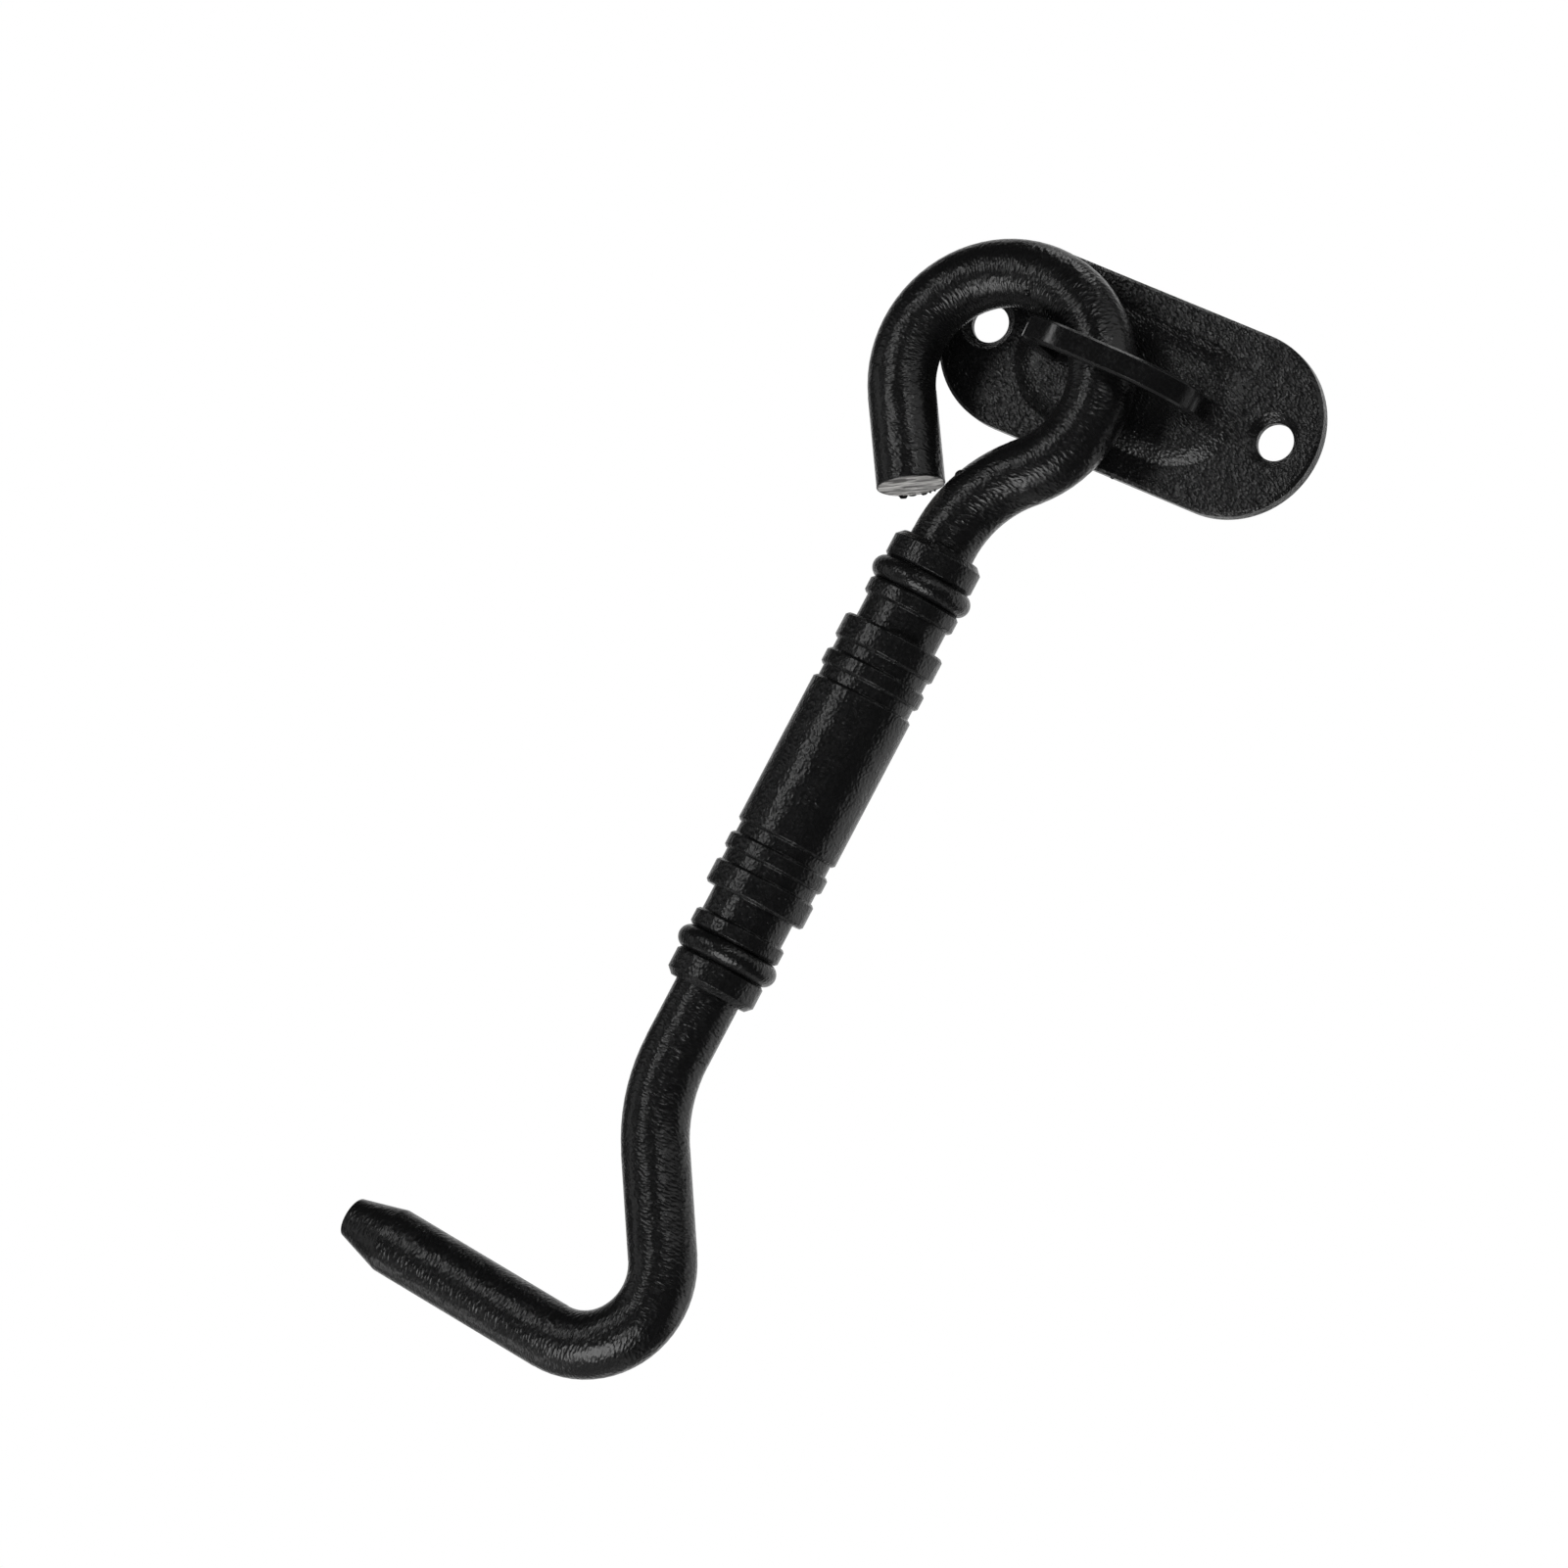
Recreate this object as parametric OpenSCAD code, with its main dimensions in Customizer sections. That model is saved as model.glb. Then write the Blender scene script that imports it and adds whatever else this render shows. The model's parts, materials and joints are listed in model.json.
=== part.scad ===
// Cabin hook on its eye plate: a bent steel rod with a turned sleeve, linked to a strip bow.
// The plate is screwed to a wall in the XZ plane. X runs along the plate, Z is up, and the
// front looks toward -Y. The origin is midway between the two screw holes, on the wall.

/* [Back plate] */
// Length of the plate over its round ends
plate_l = 52.6; // [48:0.1:70]
// Width of the plate
plate_w = 23.6; // [20:0.1:34]
// Thickness of the sheet
plate_t = 2; // [1.6:0.1:2.4]
// Chamfer round the front edge of the plate
plate_chamfer = 0.4; // [0.1:0.1:0.8]
// Distance between the two screw holes
screw_pitch = 41; // [38:0.5:44]
// Diameter of the screw holes
screw_d = 4.8; // [3:0.1:5.2]
// Diameter of the countersinks at the face
sink_d = 7; // [5.6:0.1:8]
// Length of the raised boss at its foot
boss_l = 31.4; // [31:0.1:33]
// Width of the raised boss at its foot
boss_w = 16.8; // [16.4:0.1:19]
// Height of the raised boss above the sheet
boss_h = 1.2; // [1:0.1:1.5]
// Radius of the pressed shoulder round the boss
shoulder_r = 5.5; // [5:0.1:6]
// Radius of the hollow corner at the foot of the boss
foot_r = 1; // [0.6:0.1:1.4]

/* [Bow] */
// Width of the bow over its two legs
bow_span = 23.6; // [22:0.1:24]
// Width of the strip
strip_w = 3.1; // [2.6:0.1:4]
// Thickness of the strip
strip_t = 2.2; // [1.8:0.1:2.6]
// Chamfer along the edges of the strip
strip_chamfer = 0.3; // [0.1:0.05:0.5]
// Bend radius at the hook side, on the middle of the strip
near_bend_r = 5; // [4:0.1:6]
// Bend radius at the far side, on the middle of the strip
far_bend_r = 9; // [8:0.1:9.5]
// Fall of the crown toward the far side, in degrees
crown_fall = 6; // [0:0.5:7]
// Thickness of the tenons that pass through the plate
tenon_t = 1.6; // [1.2:0.1:1.7]
// Width of the tenons
tenon_w = 2.2; // [1.8:0.1:2.5]
// Diameter of the riveted heads behind the plate
rivet_d = 2.6; // [2.3:0.1:2.8]
// Thickness of the riveted heads
rivet_h = 0.8; // [0.5:0.1:1]

/* [Hook] */
// Diameter of the rod
rod_d = 8.5; // [7:0.1:9]
// Bore of the open loop
loop_bore = 17.5; // [16.5:0.1:20]
// Straight length beyond the loop, to the cut end
loop_tail = 11.7; // [8:0.1:13]
// Slant of the loop's straight tail from the line of the shank, in degrees
tail_slant = 35; // [30:0.5:40]
// Offset of the shank from the centre of the loop
shank_offset = 3.6; // [2:0.1:6]
// Straight length between the loop and the upper bend
crank_l = 1; // [0.5:0.1:4]
// Radius of the upper bend, between loop and shank, on the middle of the rod
upper_bend_r = 17; // [13:0.5:20]
// Straight length of the shank
shank_l = 70; // [64:0.5:130]
// Radius of the lower bend, on the middle of the rod
lower_bend_r = 22; // [16:0.5:26]
// Angle of the lower bend, in degrees
lower_turn = 33.7; // [25:0.1:40]
// Straight length below the lower bend
slant_l = 13.3; // [8:0.1:20]
// Radius of the corner above the prong, on the middle of the rod
corner_r = 9.5; // [8:0.1:13]
// Rise of the prong toward its tip, in degrees
prong_rise = 2.7; // [0:0.1:5]
// Straight length of the prong, with no taper
prong_l = 24.7; // [18:0.1:34]
// Length of the tapered tip
tip_l = 6; // [3:0.1:9]
// Diameter of the tip's flat end
tip_d = 5.2; // [4:0.1:6.5]

/* [Sleeve] */
// Distance from the upper bend to the sleeve
sleeve_drop = 0.7; // [0:0.1:3]
// Diameter of the barrel, the wide collars and the rings
barrel_d = 13.3; // [12.6:0.1:14]
// Length of the barrel
barrel_l = 20.2; // [14:0.1:30]
// Diameter of the grooves
groove_d = 12.3; // [11.4:0.1:12.4]
// Length of each groove
groove_l = 1.5; // [1:0.1:2]
// Length of each ring between two grooves
ring_l = 2.2; // [1.5:0.1:3]
// Length of each wide collar
collar_l = 3.3; // [2.5:0.1:4.5]
// Diameter of the necks
neck_d = 10.8; // [10.2:0.1:11.2]
// Length of each neck
neck_l = 3.2; // [2:0.1:4.5]
// Diameter of each narrow collar
narrow_d = 12; // [11.4:0.1:12.4]
// Length of each narrow collar
narrow_l = 2.2; // [1.5:0.1:3]
// Diameter of the round beads
bead_d = 13.2; // [12.6:0.1:14]
// Length of each round bead
bead_l = 3.1; // [2.4:0.1:3.6]
// Diameter of the end collars
end_d = 11.7; // [11:0.1:12.4]
// Length of each end collar
end_l = 3.6; // [2.5:0.1:4.5]
// Chamfer on the edges of collars, rings and barrel
edge_chamfer = 0.3; // [0.1:0.05:0.4]
// Chamfer at the two ends of the sleeve
end_chamfer = 0.8; // [0.4:0.1:1.2]

/* [Fit] */
// Gap between the loop's rod and the boss
rod_gap = 1; // [0.3:0.05:1.4]
// Gap between the loop's rod and the crown of the bow, at the crown's high end
crown_gap = 0.8; // [0.75:0.05:1.5]
// Gap where the loop hangs on the leg of the bow
seat_gap = 0.3; // [0.2:0.05:0.5]
// How far the loop has slid outward on the leg
loop_slide = 2.2; // [0:0.1:2.6]
// Lean of the shank when the hook hangs free, its weight straight under the leg, in degrees
hang_angle = 2.66; // [0:0.01:10]
// Gap round the tenons in their slots
slot_gap = 0.1; // [0.05:0.05:0.2]
// Gap between the rod and the sleeve's bore
sleeve_gap = 0.05; // [0.02:0.01:0.1]

/* [Hidden] */
$fn = 96;
black = [0.1, 0.1, 0.1];
// Overrun of the cuts
over = 1;
// How much thinner a bend is than the straights beside it
thinning_share = 0.005;
// How far a straight laps into the bend beside it
lap = 0.05;
// How much closer than touching the shoulder's centre and the foot corner's centre stand
meeting_share = 0.001;
// Slope left where the foot runs out into the sheet, in degrees
foot_slope = 10;

// Boss and its hollow: a round shoulder that runs down into a hollow corner at the foot
foot_z = foot_r * cos(foot_slope);
foot_x = boss_w / 2 + foot_r * sin(foot_slope);
centres = (shoulder_r + foot_r) * (1 - meeting_share);
centres_z = shoulder_r + foot_z - boss_h;
boss_flat = foot_x - sqrt(pow(centres, 2) - pow(centres_z, 2));
meeting_z = boss_h - shoulder_r + shoulder_r * centres_z / centres;
boss_top = plate_t + boss_h;
sink_depth = (sink_d - screw_d) / 2;

// Bow: the crown clears the rod, and both legs end on the boss
leg_x = (bow_span - strip_t) / 2;
bow_inside = rod_gap + rod_d + crown_gap;
near_leg = bow_inside + strip_t / 2 - near_bend_r;
crown_l = (2 * leg_x - near_bend_r * (1 + sin(crown_fall)) - far_bend_r * (1 - sin(crown_fall)))
    / cos(crown_fall);
far_leg = near_leg + (near_bend_r - far_bend_r) * cos(crown_fall) - crown_l * sin(crown_fall);

// Hook, in its own plane: the loop's centre is the origin, and the shank runs down
loop_r = (loop_bore + rod_d) / 2;
crank_r = loop_r + upper_bend_r;
upper_turn = acos((shank_offset + upper_bend_r) / norm([crank_r, crank_l])) - atan(crank_l / crank_r);
loop_turn = 180 + tail_slant + upper_turn;
corner_turn = 90 + lower_turn + prong_rise;
shank_top = -crank_r * sin(upper_turn) - crank_l * cos(upper_turn);
tail_x = -loop_r * cos(tail_slant) + loop_tail * sin(tail_slant);
tail_z = -loop_r * sin(tail_slant) - loop_tail * cos(tail_slant);

// Where the loop's centre hangs, under the corner of the leg that it bears on
hook_x = -leg_x - loop_slide;
hook_y = -(boss_top + rod_gap + rod_d / 2);
hook_z = strip_w / 2 - sqrt(pow(loop_bore / 2 - seat_gap, 2) - pow(strip_t / 2 + loop_slide, 2));

// A run of straights and bends along +Z, bent in the XZ plane. A step is [length] or
// [radius, turn], and a positive turn goes toward +X. The first child is the section,
// and the second, where there is one, sits on the end. A straight laps into its bends.
module bent_bar(steps, i = 0) {
    if (i == len(steps)) {
        if ($children > 1) children(1);
    } else if (len(steps[i]) == 1) {
        start_lap = i > 0 ? lap : 0;
        end_lap = i < len(steps) - 1 ? lap : 0;
        translate([0, 0, -start_lap])
            linear_extrude(steps[i][0] + start_lap + end_lap) children(0);
        translate([0, 0, steps[i][0]]) bent_bar(steps, i + 1) {
            children(0);
            if ($children > 1) children(1);
        }
    } else {
        bend(steps[i][0], steps[i][1]) children(0);
        past_bend(steps[i][0], steps[i][1]) bent_bar(steps, i + 1) {
            children(0);
            if ($children > 1) children(1);
        }
    }
}

// Moves what follows a bend to the bend's end
module past_bend(radius, turn) {
    centre = radius * sign(turn);
    translate([centre, 0, 0]) rotate([0, turn, 0]) translate([-centre, 0, 0]) children();
}

// A bend: a sector of a ring. Bending leaves the section a little thinner than the straights.
module bend(radius, turn) {
    translate([radius * sign(turn), 0, 0]) rotate([90, 0, 0]) intersection() {
        rotate([0, 0, 90 - 90 * sign(turn) - turn / 2])
            rotate_extrude() translate([radius, 0]) scale(1 - thinning_share) children();
        linear_extrude(2 * radius, center = true) sector(4 * radius, turn);
    }
}

// The sector that a bend sweeps, seen from the bend's centre
module sector(reach, turn) {
    polygon([[0, 0], for (share = [0 : 0.25 : 1])
        reach * [-sign(turn) * cos(share * turn), sin(share * abs(turn))]]);
}

// A long form with round ends: the child is half of its cross-section, from the middle out
module long_round(straight) {
    for (side = [0, 180]) rotate([0, 0, side]) {
        translate([straight / 2, 0, 0]) rotate([0, 0, -90]) rotate_extrude(angle = 180) children();
        translate([-straight / 2, 0, 0]) rotate([90, 0, 90]) linear_extrude(straight) children();
    }
}

// Half of the boss in section: flat on top, a round shoulder and a hollow corner at the foot
module boss_half() {
    difference() {
        intersection() {
            union() {
                domed_half(shoulder_r, boss_h - shoulder_r);
                square([boss_w / 2, meeting_z]);
            }
            square([boss_w / 2, boss_h]);
        }
        translate([foot_x, foot_z]) circle(foot_r);
    }
}

// Half of the hollow behind the boss in section, a sheet's thickness inside the boss
module hollow_half() {
    intersection() {
        domed_half(shoulder_r - plate_t, boss_h - shoulder_r + plate_t);
        square([boss_w / 2, boss_h]);
    }
}

// Flat out to the shoulder, and then round
module domed_half(radius, centre_z) {
    square([boss_flat, boss_h]);
    translate([boss_flat, centre_z]) circle(radius);
}

// The eye plate lies flat in its own frame, and this stands it against the wall
module on_wall() {
    rotate([90, 0, 0]) children();
}

// The hook's own plane stands in front of the boss, turned to the angle at which it hangs
module on_bow() {
    translate([hook_x, hook_y, hook_z]) rotate([0, hang_angle, 0]) children();
}

// Both legs of the bow, seen from its middle
module at_legs() {
    for (side = [-1, 1]) translate([side * leg_x, 0, 0]) children();
}

module back_plate() {
    color(black) on_wall() difference() {
        union() {
            long_round(plate_l - plate_w) polygon([
                [0, 0], [plate_w / 2, 0], [plate_w / 2, plate_t - plate_chamfer],
                [plate_w / 2 - plate_chamfer, plate_t], [0, plate_t]]);
            translate([0, 0, plate_t]) long_round(boss_l - boss_w) boss_half();
        }
        boss_hollow();
        for (side = [-1, 1]) translate([side * screw_pitch / 2, 0, 0]) screw_hole();
        at_legs() translate([0, 0, boss_top / 2])
            cube([tenon_t + 2 * slot_gap, tenon_w + 2 * slot_gap, boss_top + over], center = true);
    }
}

// The hollow that pressing the boss leaves in the back of the sheet
module boss_hollow() {
    long_round(boss_l - boss_w) hollow_half();
}

module screw_hole() {
    translate([0, 0, -over]) cylinder(d = screw_d, h = plate_t + 2 * over);
    translate([0, 0, plate_t - sink_depth])
        cylinder(d1 = screw_d, d2 = sink_d + 2 * over, h = sink_depth + over);
}

module staple_bow() {
    color(black) on_wall() {
        translate([-leg_x, 0, boss_top])
            bent_bar([[near_leg], [near_bend_r, 90 + crown_fall], [crown_l],
                      [far_bend_r, 90 - crown_fall], [far_leg]])
                strip_section();
        at_legs() tenon();
    }
}

module strip_section() {
    half_t = strip_t / 2;
    half_w = strip_w / 2;
    flat_t = half_t - strip_chamfer;
    flat_w = half_w - strip_chamfer;
    polygon([[flat_t, -half_w], [half_t, -flat_w], [half_t, flat_w], [flat_t, half_w],
             [-flat_t, half_w], [-half_t, flat_w], [-half_t, -flat_w], [-flat_t, -half_w]]);
}

// A tenon from the foot of a leg through the sheet, with its head riveted over behind
module tenon() {
    translate([-tenon_t / 2, -tenon_w / 2, boss_h]) cube([tenon_t, tenon_w, plate_t]);
    translate([0, 0, boss_h - rivet_h]) cylinder(d1 = tenon_w, d2 = rivet_d, h = rivet_h / 2);
    translate([0, 0, boss_h - rivet_h / 2]) cylinder(d = rivet_d, h = rivet_h / 2);
}

module hook_rod() {
    color(black) on_bow() translate([tail_x, 0, tail_z]) rotate([0, -tail_slant, 0])
        bent_bar([[loop_tail], [loop_r, loop_turn], [crank_l], [upper_bend_r, -upper_turn],
                  [shank_l], [lower_bend_r, -lower_turn], [slant_l], [corner_r, corner_turn],
                  [prong_l]]) {
            circle(d = rod_d);
            cylinder(d1 = rod_d, d2 = tip_d, h = tip_l);
        }
}

// Half of the sleeve's outline from its end inward, as [length, diameter, chamfer]
half_turnings = [
    [end_l, end_d, edge_chamfer], [bead_l, neck_d, 0], [narrow_l, narrow_d, edge_chamfer],
    [neck_l, neck_d, 0], [collar_l, barrel_d, edge_chamfer], [groove_l, groove_d, 0],
    [ring_l, barrel_d, edge_chamfer], [groove_l, groove_d, 0],
    [barrel_l / 2, barrel_d, edge_chamfer]];

// Sum of the lengths before a turning
function turned_to(i) = i == 0 ? 0 : turned_to(i - 1) + half_turnings[i - 1][0];
half_sleeve = turned_to(len(half_turnings));

// Half of the sleeve, in section: its length runs along +Y and its radius along +X
module half_section() {
    for (i = [0 : len(half_turnings) - 1]) translate([0, turned_to(i)])
        turning(half_turnings[i][0], half_turnings[i][1] / 2, half_turnings[i][2],
                i == len(half_turnings) - 1 ? 0 : half_turnings[i][2]);
    translate([bead_d / 2 - bead_l / 2, turned_to(1) + bead_l / 2]) circle(d = bead_l);
}

module turning(length, radius, near_chamfer, far_chamfer) {
    polygon([[0, 0], [radius - near_chamfer, 0], [radius, near_chamfer],
             [radius, length - far_chamfer], [radius - far_chamfer, length], [0, length]]);
}

module grip_sleeve() {
    color(black) on_bow() translate([shank_offset, 0, shank_top - sleeve_drop - half_sleeve])
        difference() {
            intersection() {
                rotate_extrude() for (side = [0, 1]) mirror([0, side])
                    translate([0, -half_sleeve]) half_section();
                rotate_extrude() sleeve_envelope();
            }
            cylinder(d = rod_d + 2 * sleeve_gap, h = 2 * (half_sleeve + over), center = true);
        }
}

// The sleeve's reach with its two ends chamfered
module sleeve_envelope() {
    wide = barrel_d / 2 + over;
    slope = wide - end_d / 2 + end_chamfer;
    polygon([[0, -half_sleeve], [wide - slope, -half_sleeve], [wide, slope - half_sleeve],
             [wide, half_sleeve - slope], [wide - slope, half_sleeve], [0, half_sleeve]]);
}

back_plate();
staple_bow();
hook_rod();
grip_sleeve();
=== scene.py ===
import json
import math

import bmesh
import bpy
from mathutils import Matrix, Vector, noise


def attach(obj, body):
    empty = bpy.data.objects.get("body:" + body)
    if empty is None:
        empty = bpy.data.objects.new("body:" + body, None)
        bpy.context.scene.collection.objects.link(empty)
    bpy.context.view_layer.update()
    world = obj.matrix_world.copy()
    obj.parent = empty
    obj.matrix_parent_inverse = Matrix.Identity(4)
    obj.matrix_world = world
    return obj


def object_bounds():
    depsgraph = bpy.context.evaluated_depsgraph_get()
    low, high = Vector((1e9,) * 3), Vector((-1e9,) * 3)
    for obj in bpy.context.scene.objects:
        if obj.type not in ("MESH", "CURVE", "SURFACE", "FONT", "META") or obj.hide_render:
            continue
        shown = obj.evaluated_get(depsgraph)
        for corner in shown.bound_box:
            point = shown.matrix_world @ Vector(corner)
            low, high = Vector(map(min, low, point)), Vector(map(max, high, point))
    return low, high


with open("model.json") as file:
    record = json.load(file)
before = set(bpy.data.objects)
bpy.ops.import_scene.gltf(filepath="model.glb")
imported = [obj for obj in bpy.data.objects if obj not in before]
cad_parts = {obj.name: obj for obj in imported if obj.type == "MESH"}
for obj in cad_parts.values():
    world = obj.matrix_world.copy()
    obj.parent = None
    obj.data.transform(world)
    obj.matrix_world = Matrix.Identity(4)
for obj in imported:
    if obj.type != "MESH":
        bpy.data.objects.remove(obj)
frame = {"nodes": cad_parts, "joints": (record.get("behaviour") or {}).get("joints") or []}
cad_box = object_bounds()
loop_centre = Vector(frame["joints"][0]["pos_m"])

MM = 0.001

# Camera: where it stands round the object, how it is rolled, what it looks at, and its lens
view_azimuth, view_elevation, view_roll = 23.4, -3.6, 25.3
view_distance = 1.3
view_target = Vector((-0.01562, -0.00906, -0.06308))
view_lens, view_sensor = 243.8, 36

# Soft boxes: direction as right, up and back of the camera, distance, two sides, power
soft_boxes = {
    "key": ((-0.39, -0.575, 0.719), 0.8, (0.56, 0.5), 3.5),
    "left": ((-0.66, 0.5, 0.56), 0.5, (0.13, 0.26), 0.33),
    "high": ((0.246, 0.567, 0.786), 0.8, (0.24, 0.2), 0.5),
    "right_high": ((0.72, 0.56, 0.41), 0.3, (0.27, 0.19), 0.105),
    "left_edge": ((-0.95, 0.1, -0.1), 0.9, (0.4, 0.8), 0.45),
    "right_edge": ((0.95, -0.2, -0.2), 0.9, (0.6, 0.9), 1.2),
    "low_edge": ((-0.67, -0.707, -0.23), 0.8, (0.3, 0.3), 0.3),
    "top_edge": ((0.37, 0.91, -0.19), 0.18, (0.07, 0.03), 0.016),
    "from_below": ((0, -1, -0.1), 0.9, (0.6, 0.6), 0.3),
}

# Room, as the object mirrors it: its brightness on the camera's side and behind the object, how
# far its bright middle leans to the right, and the cosines at which the change starts and ends
room_front, room_behind = 0.035, 0.9
room_lean = 0.25
room_change = (0.45, 1.0)
floor_drop, floor_half = 700 * MM, 0.8

# Colours
white = (1, 1, 1, 1)
floor_pale = (0.8, 0.8, 0.8, 1)
coat_low, coat_high = (0.0045, 0.0045, 0.0048, 1), (0.008, 0.008, 0.0083, 1)
# Light grey painted on the bow's upper edges as a painted highlight
edge_highlight_grey = (0.11, 0.11, 0.112, 1)
steel_dark, steel_bright = (0.09, 0.085, 0.08, 1), (0.95, 0.93, 0.9, 1)

# Rod: its radius, that of the loop's middle line, and the heights over which the wrinkles turn
# from along the shank to round the loop above and along the prong below
rod_radius, loop_radius = 4.25 * MM, 13 * MM
loop_begins = (-18 * MM, -12 * MM)
prong_begins = (-126 * MM, -132 * MM)

# The cut end of the loop's tail: its middle, and the direction that it faces
cut_centre = Vector((-17.625, -8.45, -23.068)) * MM
cut_out = Vector((0.535, 0, -0.845)).normalized()


# Materials

class Nodes:
    """The nodes of one material or world, with short ways to add and join them."""

    def __init__(self, owner, output="ShaderNodeOutputMaterial"):
        owner.use_nodes = True
        self.owner = owner
        self.tree = owner.node_tree
        self.tree.nodes.clear()
        self.output = self.add(output)

    def add(self, kind, **inputs):
        node = self.tree.nodes.new(kind)
        for name, value in inputs.items():
            node.inputs[name.replace("_", " ")].default_value = value
        return node

    def join(self, source, target):
        """Feed a socket from another socket, or set it to a number, a vector or a colour."""
        if isinstance(source, bpy.types.NodeSocket):
            self.tree.links.new(source, target)
        else:
            target.default_value = source

    def coordinates(self, stretch=(1, 1, 1), turn=(0, 0, 0)):
        """Positions in the object's own frame, in metres. What is drawn in them is drawn out by
        stretch along the three axes, once these are turned by turn."""
        texture = self.add("ShaderNodeTexCoord")
        mapping = self.add("ShaderNodeMapping", Rotation=turn, Scale=stretch)
        mapping.vector_type = "TEXTURE"
        self.join(texture.outputs["Object"], mapping.inputs["Vector"])
        return mapping.outputs["Vector"]

    def x_y_z(self):
        """The three parts of a position in the object's own frame, in metres."""
        parts = self.add("ShaderNodeSeparateXYZ")
        self.join(self.coordinates(), parts.inputs["Vector"])
        return parts.outputs

    def noise(self, coordinates, cell, detail=0.0, roughness=0.5, distortion=0.0):
        """Noise whose cells are about this many metres across."""
        node = self.add("ShaderNodeTexNoise", Scale=1 / cell, Detail=detail,
                        Roughness=roughness, Distortion=distortion)
        self.join(coordinates, node.inputs["Vector"])
        return node.outputs["Fac"]

    def spread(self, value, low, high, to_low=0.0, to_high=1.0, curve="LINEAR"):
        """The value, with low to high spread over to_low to to_high."""
        node = self.add("ShaderNodeMapRange", From_Min=low, From_Max=high,
                        To_Min=to_low, To_Max=to_high)
        node.interpolation_type = curve
        self.join(value, node.inputs["Value"])
        return node.outputs["Result"]

    def worked_out(self, kind, operation, values):
        """The number that an operation makes of these values."""
        node = self.add(kind)
        node.operation = operation
        for value, socket in zip(values, node.inputs):
            self.join(value, socket)
        return node.outputs["Value"]

    def math(self, operation, *values):
        return self.worked_out("ShaderNodeMath", operation, values)

    def dot(self, *vectors):
        return self.worked_out("ShaderNodeVectorMath", "DOT_PRODUCT", vectors)

    def mix(self, first, second, share, kind="FLOAT"):
        """A number, or with the kind RGBA a colour, this share of the way from first to second."""
        node = self.add("ShaderNodeMix")
        node.data_type = kind
        for value, name in ((first, "A"), (second, "B"), (share, "Factor")):
            self.join(value, node.inputs[name])
        return node.outputs["Result"]

    def bump(self, height, depth, below=None):
        """The normal of a relief this many metres deep, laid over the normal below."""
        node = self.add("ShaderNodeBump", Strength=1.0, Distance=depth)
        self.join(height, node.inputs["Height"])
        if below is not None:
            self.join(below, node.inputs["Normal"])
        return node.outputs["Normal"]

    def to_the_camera(self, seen, real):
        """The shader seen for the camera, and the real one for all light on the object."""
        path = self.add("ShaderNodeLightPath")
        mix = self.add("ShaderNodeMixShader")
        self.join(path.outputs["Is Camera Ray"], mix.inputs["Fac"])
        self.join(real.outputs[0], mix.inputs[1])
        self.join(seen.outputs[0], mix.inputs[2])
        return mix

    def finish(self, shader):
        self.join(shader.outputs[0], self.output.inputs["Surface"])
        return self.owner


def material_nodes(name):
    return Nodes(bpy.data.materials.new(name))


def pimples(n, coordinates):
    """Here and there a round pimple in the coat, where a speck of dust lies under it."""
    pitch, foot, top = 1.4 * MM, 0.09, 0.02
    shuffle, left_bare = 7.3, 0.6
    cells = n.add("ShaderNodeTexVoronoi", Scale=1 / pitch)
    n.join(coordinates, cells.inputs["Vector"])
    dome = n.spread(cells.outputs["Distance"], foot, top)
    drawn = n.math("FRACT", n.math("MULTIPLY", cells.outputs["Color"], shuffle))
    return n.math("MULTIPLY", dome, n.spread(drawn, left_bare, left_bare + 0.01))


def upper_edge_highlight(n, rounded):
    """Where the bow's upper edges get a painted highlight: 1 on the upper edges of the bow, 0
    elsewhere. An edge is where the rounded normal turns away from the true one."""
    level, turned = 0.99, 0.9
    upper_half = (0.4 * MM, 0.9 * MM)
    true = n.add("ShaderNodeNewGeometry").outputs["True Normal"]
    on_edge = n.spread(n.dot(true, rounded), level, turned)
    return n.math("MULTIPLY", on_edge, n.spread(n.x_y_z()["Z"], *upper_half))


def powder_coat(name, cell=0.42 * MM, depth=0.085 * MM, roughness=0.27, edge=0.3 * MM,
                grain=None, painted_highlight=None):
    """Satin black powder coat: an orange peel of fine pebbles and creases on slow waves, with a few
    pimples. It rounds the edges, and it is smoother on top of the pebbles. The grain gives the
    coordinates that the pebbles follow where they are drawn out, and the share of each. The painted
    highlight gives where a light grey is painted into the coat's colour as a highlight."""
    crease_cell, wave_cell = 1.3 * cell, 5 * cell
    wave_depth, pimple_height = 0.12 * MM, 0.14 * MM
    hollow, top = 0.3, 0.7
    n = material_nodes(name)
    rounded = n.add("ShaderNodeBevel", Radius=edge)
    rounded.samples = 8
    even = n.coordinates()

    pebbles = creases = None
    for along, share in grain(n) if grain else [(even, None)]:
        fine = n.noise(along, cell, distortion=0.2)
        fold = n.math("ABSOLUTE", n.math("SUBTRACT", n.noise(along, crease_cell), 0.5))
        pebbles = fine if share is None else n.mix(pebbles, fine, share)
        creases = fold if share is None else n.mix(creases, fold, share)
    waves = n.noise(even, wave_cell)

    normal = n.bump(waves, wave_depth, below=rounded.outputs["Normal"])
    normal = n.bump(n.math("ADD", pebbles, creases), depth, below=normal)
    normal = n.bump(pimples(n, even), pimple_height, below=normal)
    colour = n.mix(coat_low, coat_high, waves, "RGBA")
    # Painted highlight: light grey mixed into the colour on the bow's upper edges
    if painted_highlight:
        colour = n.mix(colour, edge_highlight_grey, painted_highlight(n, rounded.outputs["Normal"]), "RGBA")
    sheen = n.spread(pebbles, hollow, top, roughness + 0.06, roughness - 0.04)

    coat = n.add("ShaderNodeBsdfPrincipled")
    n.join(colour, coat.inputs["Base Color"])
    n.join(sheen, coat.inputs["Roughness"])
    n.join(normal, coat.inputs["Normal"])
    return n.finish(coat)


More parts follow.
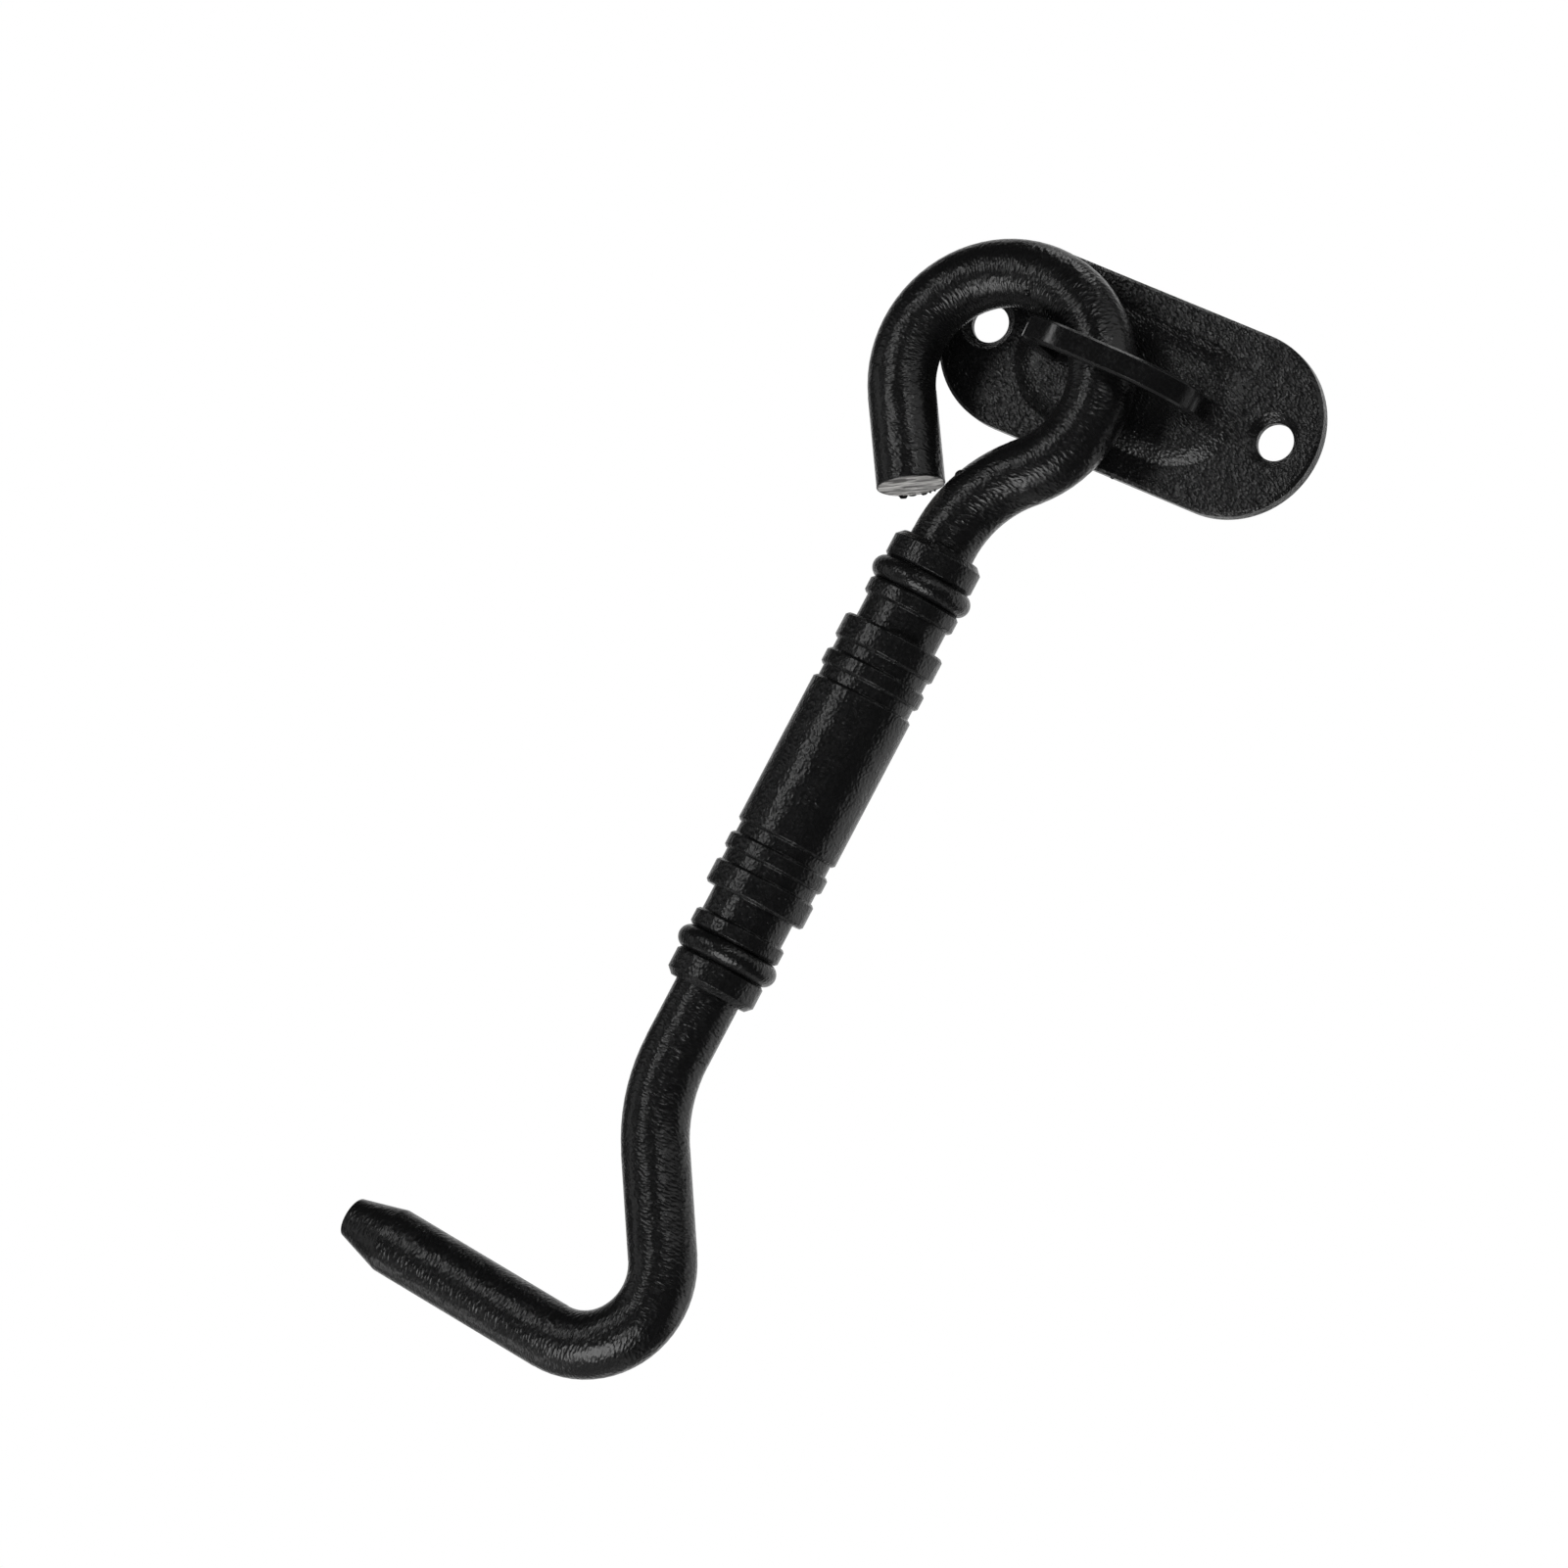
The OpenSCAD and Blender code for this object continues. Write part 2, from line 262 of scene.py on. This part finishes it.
def along_the_rod(n):
    """Coordinates in which the coat's wrinkles lie across the rod: drawn together along it on the
    shank, round the loop and along the prong. Each comes with its share over the ones before."""
    drawn_out, drawn_in = 0.6, 1.35
    x, y, z = n.x_y_z()
    east, north = n.math("SUBTRACT", x, loop_centre.x), n.math("SUBTRACT", z, loop_centre.z)
    arc = n.math("MULTIPLY", n.math("ARCTAN2", east, north), loop_radius)
    reach = n.math("SQRT", n.math("ADD", n.math("MULTIPLY", east, east),
                                  n.math("MULTIPLY", north, north)))

    def joined(across, along):
        vector = n.add("ShaderNodeCombineXYZ")
        for part, scale, name in ((across, drawn_out, "X"), (y, drawn_out, "Y"),
                                  (along, drawn_in, "Z")):
            n.join(n.math("MULTIPLY", part, scale), vector.inputs[name])
        return vector.outputs["Vector"]

    return [(joined(x, z), None),
            (joined(reach, arc), n.spread(z, *loop_begins)),
            (joined(z, x), n.spread(z, *prong_begins))]


def along_the_plate(n):
    """Coordinates in which the plate's pebbles are a little longer than they are high, along axes
    that lean in the plate."""
    lean = math.radians(25.3)
    return [(n.coordinates(stretch=(1.25, 1, 0.75), turn=(0, lean, 0)), None)]


def cut_steel(name):
    """Bare steel left by the shears: grey, with curved marks and dark scratches across it."""
    mark_cell, scratch_cell, relief = 0.8 * MM, 0.9 * MM, 0.06 * MM
    n = material_nodes(name)
    marks = n.noise(n.coordinates(stretch=(5, 1, 1), turn=(0, -0.53, 0.37)), mark_cell,
                    detail=3.0, roughness=0.6, distortion=0.6)
    streaks = n.noise(n.coordinates(stretch=(4, 1, 1), turn=(0, -0.4, 0.2)), scratch_cell,
                      detail=1.0)
    scratches = n.spread(streaks, 0.58, 0.68)
    brightness = n.math("SUBTRACT", n.spread(marks, 0.36, 0.62), scratches)

    steel = n.add("ShaderNodeBsdfPrincipled", Metallic=0.5, Roughness=0.42)
    n.join(n.mix(steel_dark, steel_bright, brightness, "RGBA"), steel.inputs["Base Color"])
    n.join(n.bump(n.math("SUBTRACT", marks, scratches), relief), steel.inputs["Normal"])
    return n.finish(steel)


def floor_white(name):
    """A pale surface that the camera sees as plain white, so that no shadow shows on it."""
    n = material_nodes(name)
    pale = n.add("ShaderNodeBsdfDiffuse", Color=floor_pale)
    plain = n.add("ShaderNodeEmission", Color=white, Strength=1.0)
    return n.finish(n.to_the_camera(plain, pale))


def dress(node, material):
    mesh = frame["nodes"][node].data
    mesh.materials.clear()
    mesh.materials.append(material)


# Pieces that the solids don't have

def on_cut(radius, angle, height):
    """A point over the cut: its distance from the rod's middle line, its turn and its height."""
    across = Vector((0, -1, 0))
    along = cut_out.cross(across)
    return (cut_centre + across * radius * math.cos(angle) + along * radius * math.sin(angle)
            + cut_out * height)


def ragged(angle, seed, step):
    """A number from about -1 to 1 that wanders round the rim and meets itself. The larger the
    step, the more often it turns."""
    return noise.noise(Vector((step * math.cos(angle), step * math.sin(angle), seed)))


def ring_mesh(name, body, rings, count, material):
    """A cap of rings, each a function from an angle to a point, from the middle outward."""
    shape = bmesh.new()
    angles = [2 * math.pi * i / count for i in range(count)]
    rows = [[shape.verts.new(ring(angle)) for angle in angles] for ring in rings]
    shape.faces.new(rows[0])
    for inner, outer in zip(rows, rows[1:]):
        for i in range(count):
            j = (i + 1) % count
            shape.faces.new((inner[i], outer[i], outer[j], inner[j]))
    bmesh.ops.recalc_face_normals(shape, faces=shape.faces)
    mesh = bpy.data.meshes.new(name)
    shape.to_mesh(mesh)
    shape.free()
    mesh.polygons.foreach_set("use_smooth", [True] * len(mesh.polygons))
    mesh.materials.append(material)
    thing = bpy.data.objects.new(name, mesh)
    bpy.context.scene.collection.objects.link(thing)
    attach(thing, body)
    return thing


def coat_edge(angle):
    """The rod's own edge."""
    return rod_radius


def bare_edge(angle):
    """Where the bare steel ends and the coat begins, a little uneven."""
    return rod_radius * (0.968 + 0.012 * ragged(angle, 1.7, 2.0))


def burr(angle):
    """Flecks of coat that the shears dragged over the far side: each has an angle and half a width
    in radians, and a height in millimetres."""
    flecks = ((2.58, 0.12, 0.42), (2.86, 0.1, 0.14), (3.22, 0.09, 0.22), (3.42, 0.03, 0.2),
              (3.6, 0.03, 0.15), (4.4, 0.05, 0.1))
    return MM * sum(height * math.exp(-((angle - at) / half) ** 6)
                    * (1 + 0.3 * ragged(angle, at, 9.0)) for at, half, height in flecks)


def face_ring(share):
    """A ring of the bare face at this share of its radius, crowned and scored."""
    def ring(angle):
        crown = (0.12 - 0.06 * share ** 4) * MM
        return on_cut(bare_edge(angle) * share, angle,
                      crown + 0.02 * MM * ragged(angle, 20 * share, 4.0))
    return ring


def edge_ring(edge, outside, height, burrs):
    """A ring that follows an edge, so many millimetres outside it and over the cut, with a share
    of the burrs."""
    def ring(angle):
        return on_cut(edge(angle) + outside * MM, angle, height * MM + burrs * burr(angle))
    return ring


def make_cut_end():
    """The sheared face, bare where the shears went through the coated rod, and the lip of coat and
    burrs round it."""
    face_count, lip_count = 96, 300
    shares = (0.08, 0.16, 0.24, 0.32, 0.4, 0.48, 0.56, 0.64, 0.72, 0.8, 0.88, 0.94, 1.0)
    ring_mesh("cut_face", "hook", [face_ring(share) for share in shares]
              + [edge_ring(bare_edge, 0, -0.02, 0)], face_count, cut_steel("sheared_steel"))
    lip_rings = ((coat_edge, -2.125, -0.1, 0), (bare_edge, -0.05, 0, 0),
                 (bare_edge, 0.02, 0.09, 0.8), (coat_edge, -0.03, 0.06, 1),
                 (coat_edge, 0.02, -0.05, 0), (coat_edge, -0.06, -0.08, 0))
    lip = ring_mesh("cut_lip", "hook", [edge_ring(*row) for row in lip_rings], lip_count,
                    powder_coat("lip_coat", depth=0.02 * MM))


def make_dome(name, body, material, foot, out, radius, height, wobble):
    """A round head or drop that stands on foot in the direction out. Its foot, radius and height
    are in millimetres, and wobble is how far it is from round."""
    shares, sunk, count = (0.1, 0.25, 0.45, 0.65, 0.82, 0.93, 1), 0.15 * MM, 40
    foot, out = Vector(foot) * MM, Vector(out).normalized()
    first = out.orthogonal().normalized()
    second = out.cross(first)

    def ring_at(share, down=0):
        def ring(angle):
            reach = (radius * MM * math.sin(share * math.pi / 2)
                     * (1 + wobble * ragged(angle, height * MM, 1.0)))
            return (foot + first * reach * math.cos(angle) + second * reach * math.sin(angle)
                    + out * height * MM * math.cos(share * math.pi / 2) - out * down)
        return ring

    rings = [ring_at(share) for share in shares] + [ring_at(1, down=sunk)]
    ring_mesh(name, body, rings, count, material)


def make_rivets_and_nibs():
    """The hammered rivet heads behind the boss, and three nibs where the coat ran or caught."""
    head = powder_coat("rivet_coat", depth=0.05 * MM)
    for name, x in (("rivet_head_left", -10.7), ("rivet_head_right", 10.7)):
        make_dome(name, "eye_plate", head, (x, -1.2, 0), (0, 1, 0), 1.6, 0.95, 0.06)
    nib = powder_coat("nib_coat", depth=0.01 * MM)
    make_dome("coat_drop", "hook", nib,
              (-13.2, -11.6, 4.0), (0.03, -0.75, -0.66), 0.45, 0.5, 0.2)
    make_dome("coat_burr", "hook", nib,
              (-11.4, -10.9, -19.75), (-0.71, -0.59, 0.39), 0.6, 0.4, 0.5)
    make_dome("edge_nib", "eye_plate", nib,
              (3.2, -1.3, -11.7), (0.1, -0.2, -1), 0.3, 0.3, 0.4)


# The stage

def make_floor():
    low = cad_box[0].z - floor_drop
    corners = [(x * floor_half, y * floor_half, low)
               for x, y in ((-1, -1), (1, -1), (1, 1), (-1, 1))]
    mesh = bpy.data.meshes.new("floor")
    mesh.from_pydata(corners, [], [(0, 1, 2, 3)])
    mesh.materials.append(floor_white("floor_white"))
    floor = bpy.data.objects.new("floor", mesh)
    bpy.context.scene.collection.objects.link(floor)


def view_axes():
    """The camera's own right, up and back, as the columns of a matrix."""
    a, e = math.radians(view_azimuth), math.radians(view_elevation)
    back = Vector((math.sin(a) * math.cos(e), -math.cos(a) * math.cos(e), math.sin(e)))
    level = back.to_track_quat("Z", "Y").to_matrix()
    return level @ Matrix.Rotation(math.radians(view_roll), 3, "Z")


def make_world():
    """A room that is white to the camera. What the object mirrors of it is dark on the camera's
    side and bright behind the object."""
    n = Nodes(bpy.data.worlds.new("studio"), "ShaderNodeOutputWorld")
    axes = view_axes()
    away = (room_lean * axes.col[0] - axes.col[2]).normalized()
    direction = n.add("ShaderNodeTexCoord").outputs["Generated"]
    strength = n.spread(n.dot(direction, away), *room_change, room_front, room_behind,
                        curve="SMOOTHSTEP")
    room = n.add("ShaderNodeBackground", Color=white)
    n.join(strength, room.inputs["Strength"])
    plain = n.add("ShaderNodeBackground", Color=white)
    bpy.context.scene.world = n.finish(n.to_the_camera(plain, room))


def make_soft_box(name, toward, distance, size, power):
    """A soft box in the direction toward, given as right, up and back of the camera."""
    light = bpy.data.lights.new(name, "AREA")
    light.shape = "RECTANGLE"
    light.size, light.size_y = size
    light.energy = power
    axes = view_axes()
    back = (axes @ Vector(toward)).normalized()
    side = axes.col[1].cross(back).normalized()
    turn = Matrix((side, back.cross(side), back)).transposed()
    thing = bpy.data.objects.new(name, light)
    thing.matrix_world = Matrix.Translation(view_target + back * distance) @ turn.to_4x4()
    bpy.context.scene.collection.objects.link(thing)


def make_camera():
    camera = bpy.data.cameras.new("camera")
    camera.sensor_width, camera.lens = view_sensor, view_lens
    camera.clip_start, camera.clip_end = 0.01, 20
    axes = view_axes()
    place = Matrix.Translation(view_target + axes.col[2] * view_distance)
    thing = bpy.data.objects.new("camera", camera)
    thing.matrix_world = place @ axes.to_4x4()
    bpy.context.scene.collection.objects.link(thing)
    bpy.context.scene.camera = thing


bpy.context.scene.view_settings.view_transform = "Standard"
make_camera()
make_floor()
make_world()
for box_name, facts in soft_boxes.items():
    make_soft_box(box_name, *facts)

dress("back_plate", powder_coat("plate_pebbles", cell=0.36 * MM, depth=0.1 * MM,
                                edge=0.12 * MM, grain=along_the_plate))
# The bow's upper edges get a painted highlight in their colour
dress("staple_bow", powder_coat("bow_coat", depth=0.01 * MM, roughness=0.22,
                                edge=0.08 * MM, painted_highlight=upper_edge_highlight))
dress("hook_rod", powder_coat("rod_wrinkles", grain=along_the_rod))
dress("grip_sleeve", powder_coat("sleeve_coat", depth=0.07 * MM, edge=0.15 * MM))
make_cut_end()
make_rivets_and_nibs()
